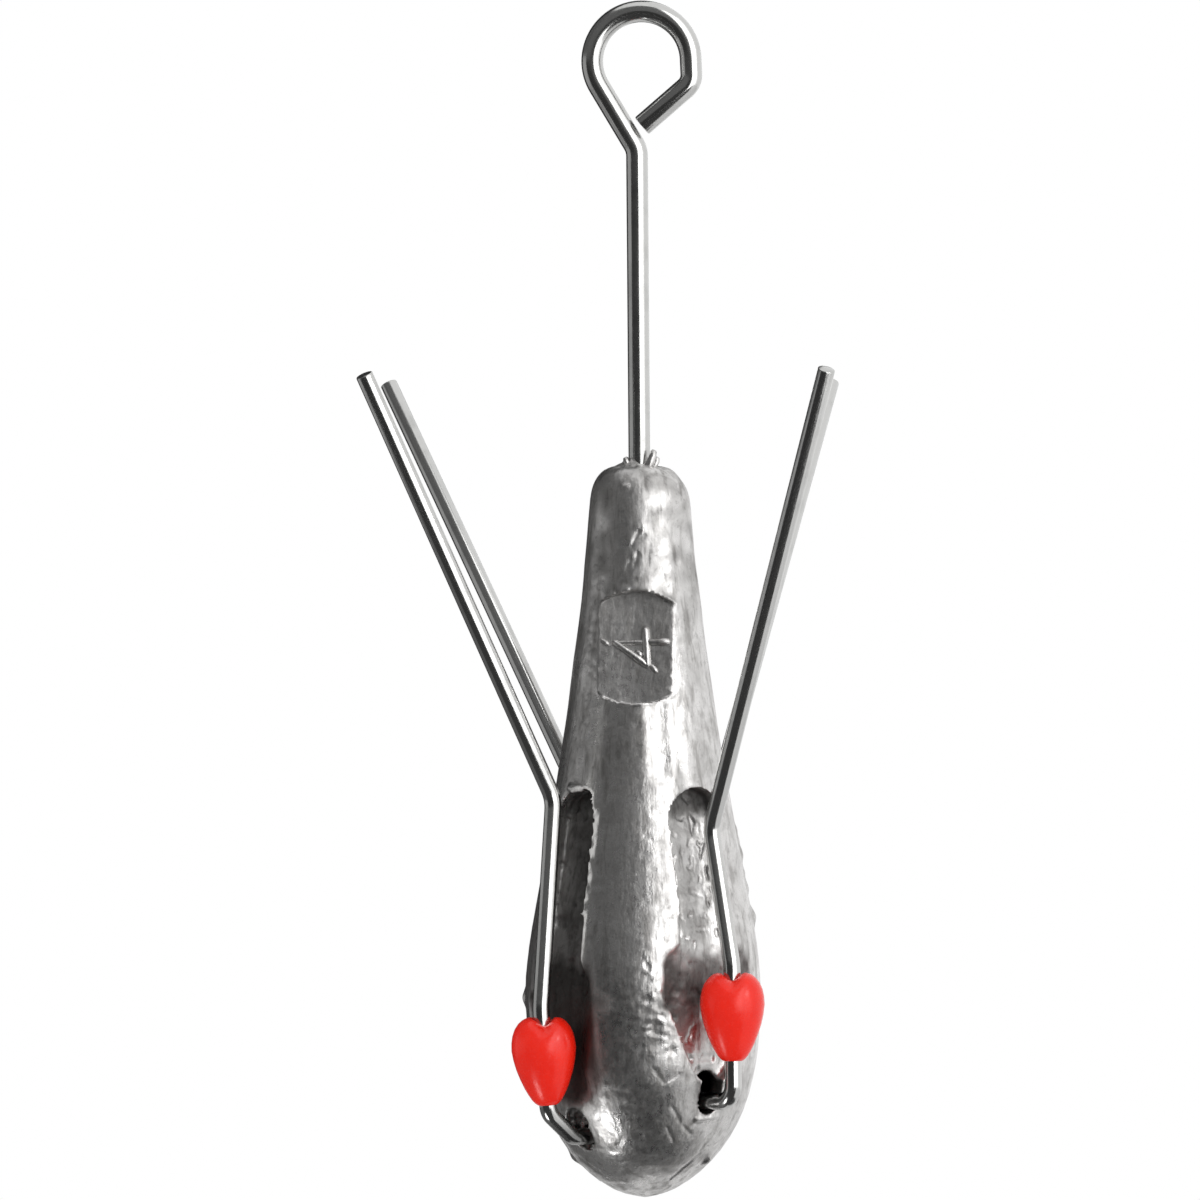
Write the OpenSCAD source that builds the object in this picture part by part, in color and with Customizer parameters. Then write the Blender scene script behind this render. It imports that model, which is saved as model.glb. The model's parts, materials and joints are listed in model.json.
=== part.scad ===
// Grip sinker: a cast lead body on a wire eye, with two hinged pairs of anchor wires.
// Millimetres. The origin is the centre of the eye, +Z is up and the front faces -Y.
// Azimuths are counted from the front, positive to the right.

/* [Body] */
// Length of the lead body from its top to its nose
body_len = 63.9; // [40:0.1:90]
// Largest radius of the lead body
body_r = 10.3; // [6:0.1:16]
// Height of the eye's centre above the body's top
body_drop = 35.36; // [20:0.1:60]
// Sideways distance of the body's axis from the eye's centre
axis_x = -0.45; // [-2:0.05:2]

/* [Weight pad] */
// Width of the flat pad
pad_w = 6.7; // [3:0.1:9]
// Height of the flat pad
pad_h = 9.8; // [5:0.1:14]
// Radius of the pad's arched ends
pad_arch_r = 5.9; // [4:0.1:12]
// Depth of the pad's middle below the body's top
pad_drop = 15.94; // [8:0.02:25]
// How deep the pad's middle is cut into the body
pad_depth = 1.05; // [0.4:0.05:2]
// Lean of the pad, following the body's taper
pad_lean = 9.6; // [0:0.1:20]
// Width of the numeral's strokes
stroke_w = 0.42; // [0.2:0.02:0.8]
// Height of the numeral above the pad
stroke_rise = 0.28; // [0.1:0.02:0.6]
// Length of the numeral's long stroke
numeral_len = 4.45; // [2:0.1:6]

/* [Tail wire] */
// Diameter of the tail wire
tail_d = 1.9; // [1:0.05:3]
// Radius of the eye to the middle of its wire
eye_r = 4.32; // [3:0.02:8]
// Depth of the shank's bend below the eye's centre
shank_bend_drop = 7.75; // [5:0.05:12]
// Bending radius below the eye
shank_bend_r = 2.0; // [1:0.1:5]
// Sideways position of the eye's corner
corner_x = 4.4; // [2:0.05:8]
// Depth of the eye's corner
corner_drop = 1.95; // [0.5:0.05:5]
// Bending radius of the eye's corner
corner_r = 1.5; // [1:0.1:4]
// Depth of the wire's cut end below the eye's centre
cut_end_drop = 5.67; // [4:0.01:8]
// Depth of the cast-in hook below the body's top
hook_drop = 34.64; // [20:0.02:50]
// Width of the cast-in hook
hook_w = 4.0; // [3:0.1:5]
// Height of the cast-in hook
hook_h = 5.0; // [3:0.1:10]

/* [Grip wires] */
// Diameter of the grip wires
grip_d = 1.5; // [1:0.05:2.5]
// Azimuth of the front right leg, with the back left leg opposite
upper_leg_az = 45; // [30:1:60]
// Azimuth of the front left leg
front_left_az = -40; // [-60:1:-30]
// Azimuth of the front left leg's arm bend
front_left_bend_az = -45; // [-60:1:-30]
// Azimuth of the back right leg
back_right_az = 150; // [120:1:160]
// Azimuth of the back right leg's arm bend
back_right_bend_az = 139; // [120:1:160]
// Distance of the arm tips from the body's axis
tip_r = 28.8; // [15:0.1:50]
// Height of the arm tips above the nose
tip_rise = 71.66; // [50:0.02:90]
// Azimuth of the front left tip
tip_front_left_az = -49; // [-90:0.5:0]
// Azimuth of the front right tip
tip_front_right_az = 39.4; // [0:0.2:90]
// Azimuth of the back left tip
tip_back_left_az = -123.4; // [-180:0.2:-90]
// Azimuth of the back right tip
tip_back_right_az = 149; // [90:0.5:180]
// Bending radius where an arm leaves its leg
arm_bend_r = 3.0; // [1:0.1:8]
// Bending radius of the slight bend above a bead
knee_r = 4.0; // [1:0.1:8]
// Bending radius beside a cross hole
foot_r = 1.5; // [1:0.1:4]

/* [Lower grip wire] */
// Height of the lower cross hole above the nose
lower_pin_rise = 5.66; // [4:0.02:10]
// Arm bend of the front left leg, in from the body's largest radius
front_left_bend_in = 0.4; // [0:0.1:3]
// Arm bend of the front left leg, above the nose
front_left_bend_rise = 34.96; // [25:0.02:45]
// Arm bend of the back right leg, in from the body's largest radius
back_right_bend_in = 0.9; // [0:0.1:3]
// Arm bend of the back right leg, above the nose
back_right_bend_rise = 35.76; // [25:0.02:45]
// Knee above the bead, out from the body's largest radius
lower_knee_out = 2.1; // [0.5:0.05:4]
// Knee above the bead, above the nose
lower_knee_rise = 16.86; // [12:0.02:25]
// Ankle below the bead, out from the body's largest radius
lower_ankle_out = 1.3; // [0:0.05:3]
// Ankle below the bead, above the nose
lower_ankle_rise = 7.86; // [6:0.02:14]
// Foot where the wire turns into the hole, in from the body's largest radius
lower_foot_in = 1.6; // [0:0.05:3]

/* [Upper grip wire] */
// Height of the upper cross hole above the nose
upper_pin_rise = 8.76; // [6:0.02:14]
// Arm bend of the front right leg, in from the body's largest radius
front_right_bend_in = 0.9; // [0:0.1:3]
// Arm bend of the front right leg, above the nose
front_right_bend_rise = 32.36; // [25:0.02:45]
// Arm bend of the back left leg, in from the body's largest radius
back_left_bend_in = 1.0; // [0:0.1:3]
// Arm bend of the back left leg, above the nose
back_left_bend_rise = 36.06; // [25:0.02:45]
// Knee above the bead, out from the body's largest radius
upper_knee_out = 1.8; // [0.5:0.05:4]
// Knee above the bead, above the nose
upper_knee_rise = 20.56; // [14:0.02:28]
// Foot where the wire turns into the hole, out from the body's largest radius
upper_foot_out = 1.85; // [0:0.05:4]

/* [Beads] */
// Diameter of a bead
bead_d = 5.6; // [3:0.1:9]
// Length of a bead
bead_len = 7.7; // [4:0.1:12]
// Height of the lower beads' middles above the nose
lower_bead_rise = 12.41; // [9:0.01:20]
// Height of the upper beads' middles above the nose
upper_bead_rise = 16.16; // [11:0.02:24]

/* [Grooves] */
// Width of a groove
groove_w = 6.0; // [3:0.1:9]
// Height of the groove's arched top above the nose
groove_top_rise = 35.86; // [25:0.02:45]
// Groove's floor at its top, in from the body's largest radius
groove_top_in = 4.9; // [2:0.1:6]
// Floor of the lower beads' pockets, in from the body's largest radius
lower_pocket_in = 1.5; // [1:0.1:4]
// Floor of the upper beads' pockets, in from the body's largest radius
upper_pocket_in = 1.8; // [1:0.1:4]
// Full width of a lower bead's pocket
lower_pocket_w = 10.0; // [6:0.1:12]
// Full width of an upper bead's pocket
upper_pocket_w = 9.6; // [6:0.1:12]
// Width of the pocket where it meets the cross hole
pocket_neck_w = 4.2; // [2:0.1:6]
// Width of a cross hole's oval mouth
mouth_w = 2.4; // [1.6:0.1:4]
// Height of a cross hole's oval mouth
mouth_h = 3.7; // [2:0.1:5]
// Start of the oval mouth, in from the body's largest radius
mouth_in = 3.9; // [2:0.1:6]

/* [Bends] */
// How much a bend swells the wire, on the diameter
bend_swell = 0.02; // [0.01:0.01:0.1]
// Length of straight wire that runs into each bend
bend_lap = 0.1; // [0.05:0.05:0.3]

/* [Fits] */
// Running clearance of a grip wire in its cross hole, on the radius
pin_clearance = 0.05; // [0.01:0.01:0.1]
// Running clearance of a bead on its wire, on the radius
bead_clearance = 0.05; // [0.01:0.01:0.1]

/* [Hidden] */
$fn = 64;
curve_steps = 3;

lead_colour = [0.55, 0.55, 0.54];
wire_colour = [0.75, 0.76, 0.77];
bead_colour = [0.9, 0.12, 0.08];

// body outline: height above the nose, then radius
body_shares = [
    [0, 0], [0.012, 0.27], [0.049, 0.56], [0.1, 0.783], [0.161, 0.92], [0.222, 0.977],
    [0.284, 1], [0.345, 0.966], [0.43, 0.876], [0.55, 0.745], [0.67, 0.625], [0.8, 0.517],
    [0.9, 0.45], [0.955, 0.422], [0.98, 0.38], [0.995, 0.3], [1, 0.2]
];
// bead outline: height above its narrow end, then radius
bead_shares = [
    [0, 0.36], [0.03, 0.47], [0.25, 0.7], [0.45, 0.9], [0.65, 1], [0.82, 0.93],
    [0.95, 0.68], [1, 0.42]
];
// height where the bead's dimple meets its bore
dimple_share = 0.94;
// numeral strokes: start and end across the pad, then up the pad, of the numeral's length
stroke_shares = [
    [[-0.39, 0.11], [0.61, 0.13]],
    [[-0.39, 0.11], [0.216, -0.32]],
    [[0.235, -0.325], [0.196, 0.363]]
];
// pocket steps: heights above the bead's middle, of the bead's length
pocket_top_share = 0.79;
pocket_full_share = 0.65;
pocket_taper_share = 0.19;
pocket_neck_share = -0.6;

// above this share of upright a wire is squared up by the Y axis, and by Z below it
upright_share = 0.9;

nose_drop = body_drop + body_len;
hook_z = -body_drop - hook_drop;
pad_height_share = 1 - pad_drop / body_len;
pad_out = body_r * lookup(pad_height_share, body_shares) - pad_depth;

shank = [axis_x, -shank_bend_drop];
corner = [corner_x, -corner_drop];
shank_angle = atan2(shank[1], shank[0]) - acos(eye_r / norm(shank));
corner_angle = atan2(corner[1], corner[0]) + acos(eye_r / norm(corner));
lap_angle = atan2(bend_lap, eye_r);

function unit(v) = v / norm(v);
// a smooth curve through the points k, with n steps between neighbours
function between(a, b, c, d, t) =
    (2 * b + (c - a) * t + (2 * a - 5 * b + 4 * c - d) * t * t
    + (3 * b - a - 3 * c + d) * t * t * t) / 2;
function curve(k, n) = concat(
    [
        for (i = [0 : len(k) - 2], j = [0 : n - 1])
            between(k[max(i - 1, 0)], k[i], k[i + 1], k[min(i + 2, len(k) - 1)], j / n)
    ],
    [k[len(k) - 1]]
);
function upright(p) = [p[0], 0, p[1]];
function on_eye(a) = [eye_r * cos(a), 0, eye_r * sin(a)];
// a point at an azimuth, a distance from the body's axis and a height above the nose
function at(az, r, rise) = [axis_x + r * sin(az), -r * cos(az), rise - nose_drop];
function helper(w) = abs(w[2]) > upright_share ? [0, 1, 0] : [0, 0, 1];
function turn_at(p, i) = acos(unit(p[i] - p[i - 1]) * unit(p[i + 1] - p[i]));
function trim_at(p, r, i) =
    i == 0 || i == len(p) - 1 ? 0 : r[i] * tan(turn_at(p, i) / 2) - bend_lap;

function lower_leg(side, bend_side, bend_in, bend_rise) = [
    at(bend_side, body_r - bend_in, bend_rise),
    at(side, body_r + lower_knee_out, lower_knee_rise),
    at(side, body_r + lower_ankle_out, lower_ankle_rise),
    at(side, body_r - lower_foot_in, lower_pin_rise)
];
function upper_leg(side, bend_in, bend_rise) = [
    at(side, body_r - bend_in, bend_rise),
    at(side, body_r + upper_knee_out, upper_knee_rise),
    at(side, body_r + upper_foot_out, upper_pin_rise)
];
function reversed(v) = [for (i = [len(v) - 1 : -1 : 0]) v[i]];

leg_front_left =
    lower_leg(front_left_az, front_left_bend_az, front_left_bend_in, front_left_bend_rise);
leg_back_right =
    lower_leg(back_right_az, back_right_bend_az, back_right_bend_in, back_right_bend_rise);
leg_front_right = upper_leg(upper_leg_az, front_right_bend_in, front_right_bend_rise);
leg_back_left = upper_leg(upper_leg_az - 180, back_left_bend_in, back_left_bend_rise);

// a straight piece of wire
module rod(a, b, d) {
    w = unit(b - a);
    u = unit(cross(helper(w), w));
    v = cross(w, u);
    multmatrix([
        [u[0], v[0], w[0], a[0]],
        [u[1], v[1], w[1], a[1]],
        [u[2], v[2], w[2], a[2]],
        [0, 0, 0, 1]
    ]) cylinder(h = norm(b - a), d = d);
}

// the bend of a wire that comes from p, turns at q and leaves for s
module elbow(p, q, s, r, d) {
    y = unit(q - p);
    turn = acos(y * unit(s - q));
    start = q - y * r * tan(turn / 2);
    z = unit(cross(y, unit(s - q)));
    x = cross(y, z);
    centre = start - x * r;
    multmatrix([
        [x[0], y[0], z[0], centre[0]],
        [x[1], y[1], z[1], centre[1]],
        [x[2], y[2], z[2], centre[2]],
        [0, 0, 0, 1]
    ]) rotate_extrude(angle = turn) translate([r, 0]) circle(d = d + bend_swell);
}

// a wire along points p, with a bending radius for each point
module bent_wire(p, r, d) {
    for (i = [0 : len(p) - 2]) {
        along = unit(p[i + 1] - p[i]);
        rod(p[i] + along * trim_at(p, r, i), p[i + 1] - along * trim_at(p, r, i + 1), d);
    }
    for (i = [1 : len(p) - 2]) elbow(p[i - 1], p[i], p[i + 1], r[i], d);
}

module tail_shape() {
    bent_wire(
        [upright([0, -cut_end_drop]), upright(corner), on_eye(corner_angle)],
        [0, corner_r, 0], tail_d
    );
    rotate([90, 0, 0]) rotate([0, 0, corner_angle - lap_angle])
        rotate_extrude(angle = 360 + shank_angle - corner_angle + 2 * lap_angle)
            translate([eye_r, 0]) circle(d = tail_d + bend_swell);
    bent_wire(
        [
            on_eye(shank_angle),
            upright(shank),
            [axis_x, 0, hook_z],
            [axis_x + hook_w, 0, hook_z],
            [axis_x + hook_w, 0, hook_z + hook_h]
        ],
        [0, shank_bend_r, corner_r, corner_r, 0], tail_d
    );
}

module solid_body() {
    translate([axis_x, 0, -nose_drop])
        rotate_extrude() polygon(concat(
            [for (s = curve(body_shares, curve_steps)) [s[1] * body_r, s[0] * body_len]],
            [[0, body_len]]
        ));
}

module pad_frame() {
    translate([axis_x, -pad_out, -body_drop - pad_drop]) rotate([90 - pad_lean, 0, 0]) children();
}

module pad_cut() {
    pad_frame() linear_extrude(height = body_r) intersection() {
        square([pad_w, pad_h], center = true);
        translate([0, pad_h / 2 - pad_arch_r]) circle(r = pad_arch_r);
        translate([0, pad_arch_r - pad_h / 2]) circle(r = pad_arch_r);
    }
}

module stroke(a, b) {
    along = b - a;
    translate(a) rotate(atan2(along[1], along[0]))
        translate([0, -stroke_w / 2]) square([norm(along), stroke_w]);
    translate(a) circle(d = stroke_w);
    translate(b) circle(d = stroke_w);
}

module numeral() {
    pad_frame() translate([0, 0, -stroke_rise]) linear_extrude(height = 2 * stroke_rise)
        for (s = stroke_shares) stroke(s[0] * numeral_len, s[1] * numeral_len);
}

// the outline of a groove and its pocket, seen from outside
module groove_front(bead_rise, pin_rise, full_w) {
    low = pin_rise;
    mid = bead_rise;
    top = groove_top_rise;
    half = groove_w / 2;
    wide = full_w / 2;
    neck = pocket_neck_w / 2;
    translate([0, top - half]) circle(r = half);
    polygon([
        [-half, top - half], [half, top - half],
        [half, mid + pocket_top_share * bead_len], [wide, mid + pocket_full_share * bead_len],
        [wide, mid + pocket_taper_share * bead_len], [neck, mid + pocket_neck_share * bead_len],
        [mouth_w / 2, low + mouth_h / 2], [-mouth_w / 2, low + mouth_h / 2],
        [-neck, mid + pocket_neck_share * bead_len], [-wide, mid + pocket_taper_share * bead_len],
        [-wide, mid + pocket_full_share * bead_len], [-half, mid + pocket_top_share * bead_len]
    ]);
}

module groove(bead_rise, pin_rise, floor_in, full_w) {
    pocket_floor_r = body_r - floor_in;
    pocket_top = pocket_top_share * bead_len + bead_rise;
    intersection() {
        rotate([90, 0, 0]) linear_extrude(height = 2 * body_r)
            groove_front(bead_rise, pin_rise, full_w);
        rotate([90, 0, -90]) linear_extrude(height = 2 * body_r, center = true) polygon([
            [body_r - groove_top_in, groove_top_rise], [pocket_floor_r, pocket_top],
            [pocket_floor_r, pin_rise], [2 * body_r, pin_rise], [2 * body_r, groove_top_rise]
        ]);
    }
}

module mouth(pin_rise) {
    straight = mouth_h - mouth_w;
    translate([0, mouth_in - body_r, pin_rise]) rotate([90, 0, 0]) {
        cylinder(h = body_r, d = mouth_w);
        translate([0, straight, 0]) cylinder(h = body_r, d = mouth_w);
        translate([-mouth_w / 2, 0, 0]) cube([mouth_w, straight, body_r]);
    }
}

// a cross hole through the feet of a grip wire, with a groove and a pocket for each leg
module hinge_cut(leg_a, leg_b, sides, bead_rise, pin_rise, floor_in, full_w) {
    foot_a = leg_a[len(leg_a) - 1];
    foot_b = leg_b[len(leg_b) - 1];
    along = unit(foot_b - foot_a);
    rod(foot_a - along * body_r, foot_b + along * body_r, grip_d + 2 * pin_clearance);
    for (side = sides) translate([axis_x, 0, -nose_drop]) rotate([0, 0, side]) {
        groove(bead_rise, pin_rise, floor_in, full_w);
        mouth(pin_rise);
    }
}

module lead_body() {
    color(lead_colour) difference() {
        union() {
            difference() {
                solid_body();
                pad_cut();
            }
            numeral();
        }
        hinge_cut(leg_front_left, leg_back_right, [front_left_az, back_right_az],
            lower_bead_rise, lower_pin_rise, lower_pocket_in, lower_pocket_w);
        hinge_cut(leg_front_right, leg_back_left, [upper_leg_az, upper_leg_az - 180],
            upper_bead_rise, upper_pin_rise, upper_pocket_in, upper_pocket_w);
        tail_shape();
    }
}

module tail_wire() {
    color(wire_colour) tail_shape();
}

module grip_wire_lower() {
    color(wire_colour) bent_wire(
        concat(
            [at(tip_front_left_az, tip_r, tip_rise)],
            leg_front_left,
            reversed(leg_back_right),
            [at(tip_back_right_az, tip_r, tip_rise)]
        ),
        [0, arm_bend_r, knee_r, foot_r, foot_r, foot_r, foot_r, knee_r, arm_bend_r, 0],
        grip_d
    );
}

module grip_wire_upper() {
    color(wire_colour) bent_wire(
        concat(
            [at(tip_front_right_az, tip_r, tip_rise)],
            leg_front_right,
            reversed(leg_back_left),
            [at(tip_back_left_az, tip_r, tip_rise)]
        ),
        [0, arm_bend_r, knee_r, foot_r, foot_r, knee_r, arm_bend_r, 0],
        grip_d
    );
}

// a bead on the straight part of a leg between knee and ankle
module bead(knee, ankle, rise) {
    w = unit(knee - ankle);
    u = unit(cross([0, 1, 0], w));
    v = cross(w, u);
    middle = ankle + w * (rise - nose_drop - ankle[2]) / w[2];
    base = middle - w * bead_len / 2;
    color(bead_colour) multmatrix([
        [u[0], v[0], w[0], base[0]],
        [u[1], v[1], w[1], base[1]],
        [u[2], v[2], w[2], base[2]],
        [0, 0, 0, 1]
    ]) rotate_extrude() polygon(concat(
        [for (s = curve(bead_shares, curve_steps)) [s[1] * bead_d / 2, s[0] * bead_len]],
        [
            [grip_d / 2 + bead_clearance, dimple_share * bead_len],
            [grip_d / 2 + bead_clearance, 0]
        ]
    ));
}

module bead_front_left() {
    bead(leg_front_left[1], leg_front_left[2], lower_bead_rise);
}

module bead_front_right() {
    bead(leg_front_right[1], leg_front_right[2], upper_bead_rise);
}

module bead_back_left() {
    bead(leg_back_left[1], leg_back_left[2], upper_bead_rise);
}

module bead_back_right() {
    bead(leg_back_right[1], leg_back_right[2], lower_bead_rise);
}

lead_body();
tail_wire();
grip_wire_lower();
grip_wire_upper();
bead_front_left();
bead_front_right();
bead_back_left();
bead_back_right();
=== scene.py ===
# Grip sinker: cast lead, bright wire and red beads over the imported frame.
# Metres, in the frame's axes: +Z up along the shank, -Y the front, +X to the right.
import json
import math

import bmesh
import bpy
import numpy as np
from mathutils import Matrix, Vector, noise
from mathutils.bvhtree import BVHTree


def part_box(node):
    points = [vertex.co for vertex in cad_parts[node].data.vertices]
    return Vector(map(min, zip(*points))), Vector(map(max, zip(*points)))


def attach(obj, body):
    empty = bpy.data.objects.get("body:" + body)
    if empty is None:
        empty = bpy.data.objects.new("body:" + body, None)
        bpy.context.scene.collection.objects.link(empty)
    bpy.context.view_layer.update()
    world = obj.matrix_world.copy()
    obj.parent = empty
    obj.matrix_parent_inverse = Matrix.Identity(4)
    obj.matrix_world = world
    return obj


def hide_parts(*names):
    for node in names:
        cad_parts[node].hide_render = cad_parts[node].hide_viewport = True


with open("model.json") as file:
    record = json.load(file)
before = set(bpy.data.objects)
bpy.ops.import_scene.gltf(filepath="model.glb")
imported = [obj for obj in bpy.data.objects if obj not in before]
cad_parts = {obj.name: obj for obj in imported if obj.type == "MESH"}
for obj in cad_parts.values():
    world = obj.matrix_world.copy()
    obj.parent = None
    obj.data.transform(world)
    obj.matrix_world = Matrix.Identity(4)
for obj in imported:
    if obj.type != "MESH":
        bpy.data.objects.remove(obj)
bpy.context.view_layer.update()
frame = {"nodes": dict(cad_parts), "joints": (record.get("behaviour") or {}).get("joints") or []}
nodes = frame["nodes"]
joints = {joint["name"]: joint for joint in frame["joints"]}
mm = 0.001

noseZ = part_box("lead_body")[0][2]
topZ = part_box("lead_body")[1][2]
axisX = joints["upper_grip_swing"]["pos_m"][0]
print("frame loaded: the body is", round((topZ - noseZ) / mm, 1), "mm long")


def linkObject(name, data):
    obj = bpy.data.objects.new(name, data)
    bpy.context.scene.collection.objects.link(obj)
    return obj


def objectFrom(name, bm):
    mesh = bpy.data.meshes.new(name)
    bm.to_mesh(mesh)
    bm.free()
    return linkObject(name, mesh)


# a direction seen from above: 0 is the front, 90 the right, -90 the left
def bearing(azimuth, elevation=0):
    a, e = math.radians(azimuth), math.radians(elevation)
    return Vector((math.sin(a) * math.cos(e), -math.cos(a) * math.cos(e), math.sin(e)))


def fromNose(azimuth, radius, rise):
    return Vector((axisX, 0, noseZ + rise)) + bearing(azimuth) * radius


def applyModifiers(obj):
    graph = bpy.context.evaluated_depsgraph_get()
    mesh = bpy.data.meshes.new_from_object(obj.evaluated_get(graph))
    obj.modifiers.clear()
    obj.data = mesh


def coat(mesh, material):
    mesh.polygons.foreach_set("use_smooth", [True] * len(mesh.polygons))
    mesh.materials.clear()
    mesh.materials.append(material)


# 0 below low, 1 above high, smooth between
def ramp(value, low, high):
    t = min(max((value - low) / (high - low), 0), 1)
    return t * t * (3 - 2 * t)


def finishPiece(obj, body, slot, *replaced):
    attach(obj, body)
    if replaced:
        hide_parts(*replaced)


class Paint:
    # a material whose nodes are each added and joined in one line
    def __init__(self, name):
        self.material = bpy.data.materials.new(name)
        self.material.use_nodes = True
        self.tree = self.material.node_tree
        self.shader = self.tree.nodes["Principled BSDF"]
        self.place = self.add("ShaderNodeTexCoord").outputs["Object"]

    def add(self, kind, inputs=None, **settings):
        node = self.tree.nodes.new(kind)
        for key, value in settings.items():
            setattr(node, key, value)
        for key, value in (inputs or {}).items():
            self.feed(node.inputs[key], value)
        return node

    def feed(self, socket, value):
        if isinstance(value, bpy.types.NodeSocket):
            self.tree.links.new(value, socket)
        else:
            socket.default_value = value

    def noise(self, scale, detail, roughness=0.55, stretch=None, distortion=0.0):
        place = self.place
        if stretch:
            place = self.add("ShaderNodeMapping", {"Vector": place, "Scale": stretch}).outputs[0]
        node = self.add("ShaderNodeTexNoise", {
            "Vector": place, "Scale": scale, "Detail": detail, "Roughness": roughness,
            "Distortion": distortion})
        return node.outputs["Fac"]

    def total(self, *values):
        result = values[0]
        for value in values[1:]:
            result = self.add("ShaderNodeMath", {0: result, 1: value}, operation="ADD").outputs[0]
        return result

    def attribute(self, name):
        return self.add("ShaderNodeAttribute", attribute_name=name).outputs["Fac"]

    def spread(self, value, low, high, fromLow=0.3, fromHigh=0.7):
        node = self.add("ShaderNodeMapRange", {
            "Value": value, "From Min": fromLow, "From Max": fromHigh, "To Min": low, "To Max": high})
        return node.outputs["Result"]

    def blend(self, amount, first, second):
        return self.add("ShaderNodeMix", {0: amount, 6: first, 7: second}, data_type="RGBA").outputs[2]

    def bump(self, height, distance, under=None):
        inputs = {"Height": height, "Distance": distance, "Strength": 1.0}
        if under:
            inputs["Normal"] = under
        return self.add("ShaderNodeBump", inputs).outputs["Normal"]

    def shade(self, **sockets):
        for key, value in sockets.items():
            self.feed(self.shader.inputs[key.replace("_", " ")], value)
        return self.material


leadLook = {
    "clean": (0.7, 0.69, 0.68, 1),         # freshly cast
    "tarnished": (0.45, 0.44, 0.43, 1),    # oxidised
    "streaked": (0.29, 0.28, 0.27, 1),     # dragged along the mould
    "sootAndShade": (0.2, 0.196, 0.19, 1),         # specks and pits, and painted shade in hollows
    "shade": (0.07, 0.066, 0.062, 1),      # painted shade beside the beads, low in the grooves, under their arches and mottled on the top
    "rawAndLit": (0.8, 0.79, 0.77, 1),           # torn lips, rough and pale, with a painted highlight along the left groove's arch and lip
    "hole": (0.01, 0.01, 0.01, 1),         # painted shade, black, deep in the cross holes
    # how fine the patterns are, per metre
    "blotch": 330,
    "lump": 800,
    "streak": 1100,
    "speck": 2100,
    "grain": 5200,
    "streakStretch": (1, 1, 0.2), "dragStretch": (1, 1, 0.16),
    "lumpHeight": 0.03 * mm, "dragHeight": 0.03 * mm, "speckHeight": 0.012 * mm, "grainHeight": 0.01 * mm,
    "roughness": (0.27, 0.4),
}


def castLead():
    look = leadLook
    paint = Paint("castLead")
    blotch = paint.noise(look["blotch"], detail=6, roughness=0.65, distortion=0.8)
    speck = paint.noise(look["speck"], detail=4, roughness=0.6)
    grain = paint.noise(look["grain"], detail=2)
    drag = paint.noise(look["speck"], detail=3, stretch=look["dragStretch"])
    streak = paint.noise(
        look["streak"], detail=5, roughness=0.62, stretch=look["streakStretch"], distortion=0.4)
    rawAndLit = paint.attribute("rawAndLit")
    shaded = paint.attribute("shaded")
    colour = paint.blend(paint.spread(blotch, 0, 0.8, 0.42, 0.64), look["clean"], look["tarnished"])
    colour = paint.blend(paint.spread(streak, 0, 0.75, 0.5, 0.66), colour, look["streaked"])
    colour = paint.blend(paint.spread(speck, 0, 0.45, 0.58, 0.74), colour, look["sootAndShade"])
    # painted shade in hollows
    colour = paint.blend(paint.attribute("hollowShade"), colour, look["sootAndShade"])
    # paler on sharp edges
    colour = paint.blend(paint.attribute("paleEdges"), colour, look["clean"])
    # painted shade in the pockets, low in the grooves, under the arches and on the top
    colour = paint.blend(shaded, colour, look["shade"])
    # painted shade, black, deep in the cross holes
    colour = paint.blend(paint.attribute("hole"), colour, look["hole"])
    # pale torn lead with a painted highlight along the left groove's arch and lip
    colour = paint.blend(rawAndLit, colour, look["rawAndLit"])
    rough = paint.total(
        paint.spread(blotch, *look["roughness"]), paint.spread(speck, -0.04, 0.1, 0.4, 0.75),
        paint.spread(streak, -0.03, 0.09, 0.4, 0.7), paint.spread(shaded, 0, 0.35, 0, 0.6))
    lumps = paint.bump(paint.noise(look["lump"], detail=3), look["lumpHeight"])
    dragged = paint.bump(drag, look["dragHeight"], under=lumps)
    pits = paint.bump(speck, look["speckHeight"], under=dragged)
    grains = paint.bump(grain, look["grainHeight"], under=pits)
    metal = paint.spread(rawAndLit, 1, 0.25)       # torn lead scatters light as a powder does
    return paint.shade(Base_Color=colour, Metallic=metal, Roughness=rough, Normal=grains)


wireLook = {
    "bright": (0.6, 0.6, 0.59, 1),
    "dull": (0.44, 0.44, 0.43, 1),
    "shadedInHole": (0.06, 0.058, 0.055, 1),      # painted shade on the wire inside the cross holes
    "blotch": 420,
    "scratch": 3000,
    "scratchStretch": (1, 1, 0.06),
    "scratchHeight": 0.003 * mm, "waveHeight": 0.012 * mm,
    "roughness": (0.14, 0.22),
}


def drawnSteel():
    look = wireLook
    paint = Paint("drawnSteel")
    blotch = paint.noise(look["blotch"], detail=3)
    scratch = paint.noise(look["scratch"], detail=2, stretch=look["scratchStretch"])
    colour = paint.blend(paint.spread(blotch, 0, 0.6, 0.5, 0.75), look["bright"], look["dull"])
    # painted shade on the wire inside the cross holes
    colour = paint.blend(paint.attribute("wireShade"), colour, look["shadedInHole"])
    rough = paint.spread(blotch, *look["roughness"])
    marks = paint.bump(scratch, look["scratchHeight"])
    waves = paint.bump(blotch, look["waveHeight"], under=marks)
    return paint.shade(Base_Color=colour, Metallic=1.0, Roughness=rough, Normal=waves)


beadLook = {
    "red": (0.97, 0.02, 0.006, 1),
    "deep": (0.9, 0.015, 0.005, 1),
    "cloud": 500,
    "skin": 2600,
    "cloudHeight": 0.04 * mm, "skinHeight": 0.004 * mm,
    "roughness": (0.22, 0.3),
    "shine": 0.4,
}


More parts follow.
